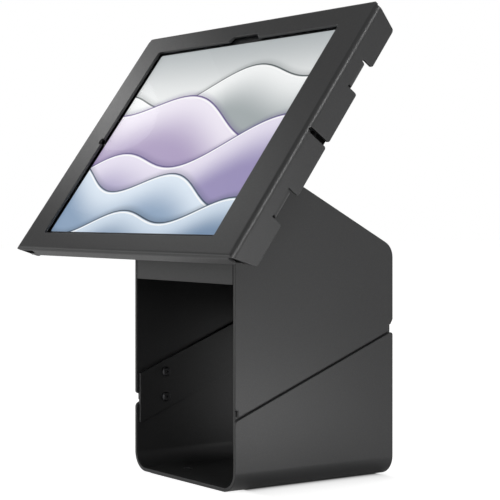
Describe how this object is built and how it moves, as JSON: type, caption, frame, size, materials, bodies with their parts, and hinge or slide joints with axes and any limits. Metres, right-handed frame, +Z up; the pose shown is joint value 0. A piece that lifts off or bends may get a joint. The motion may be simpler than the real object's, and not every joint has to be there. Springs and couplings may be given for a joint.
{
  "type": "tablet security kiosk stand",
  "caption": "Counter stand of bent sheet metal, split into base and upper shells, carrying a leaning lockable enclosure that slides up off its hooks to take a tablet.",
  "frame": {"origin": "centre of the stand's footprint, on the surface it stands on (underside of the rubber sheet)", "axes": "+Z up, -Y towards the person using the tablet, +X to that person's right"},
  "size_m": [0.2655, 0.1794, 0.3028],
  "materials": {
    "charcoal_powder": "satin powder coat with a fine grain",
    "dark_steel": "blackened steel",
    "zinc": "zinc plated",
    "nickel": "nickel plated",
    "black_rubber": "matte rubber sheet",
    "black_foam": "matte closed-cell foam",
    "tablet_aluminium": "bead blasted and anodised",
    "cover_glass": "clear cover glass with a black printed border",
    "display": null,
    "battery_wrap": "wrapped cell",
    "circuit_board": "solder mask",
    "lens": "dark lens",
    "port_steel": "stamped steel"
  },
  "bodies": {
    "stand": {"base_shell": "charcoal_powder", "upper_shell": "charcoal_powder", "mount_plate": "charcoal_powder", "splice_plate_left": "charcoal_powder", "splice_plate_right": "charcoal_powder", "wall_bosses": "zinc", "wall_screws": "dark_steel", "base_pad": "black_rubber", "back_plate": "charcoal_powder", "plate_screws": "dark_steel", "rear_pads": "black_foam", "lock_bracket": "charcoal_powder", "bracket_rivets": "zinc", "lock_barrel": "zinc", "lock_nut": "zinc"},
    "lock": {"lock_plug": "nickel", "lock_cam": "dark_steel", "cam_screw": "zinc"},
    "cover": {"bezel": "charcoal_powder", "window_gasket": "black_foam", "edge_cushions": "black_foam", "tablet_shell": "tablet_aluminium", "tablet_glass": "cover_glass", "tablet_display": "display", "tablet_battery": "battery_wrap", "tablet_board": "circuit_board", "tablet_camera": "lens", "charge_port": "port_steel"},
    "power": {"power_button": "tablet_aluminium"},
    "volume_up": {"volume_up_button": "tablet_aluminium"},
    "volume_down": {"volume_down_button": "tablet_aluminium"}
  },
  "joints": [
    {"name": "cover_slide", "type": "slide", "parent": "stand", "child": "cover", "axis": [0, 0.5835, 0.8121], "range_m": [0, 0.03]},
    {"name": "cam_turn", "type": "hinge", "parent": "stand", "child": "lock", "pos_m": [0.09, -0.06545, 0.18735], "axis": [0, 0.8121, -0.5835], "range_deg": [0, 90]},
    {"name": "power_press", "type": "slide", "parent": "cover", "child": "power", "axis": [1, 0, 0], "range_m": [0, 0.0004], "stiffness_N_per_m": 400},
    {"name": "volume_up_press", "type": "slide", "parent": "cover", "child": "volume_up", "axis": [0, -0.5835, -0.8121], "range_m": [0, 0.0004], "stiffness_N_per_m": 400},
    {"name": "volume_down_press", "type": "slide", "parent": "cover", "child": "volume_down", "axis": [0, -0.5835, -0.8121], "range_m": [0, 0.0004], "stiffness_N_per_m": 400}
  ]
}
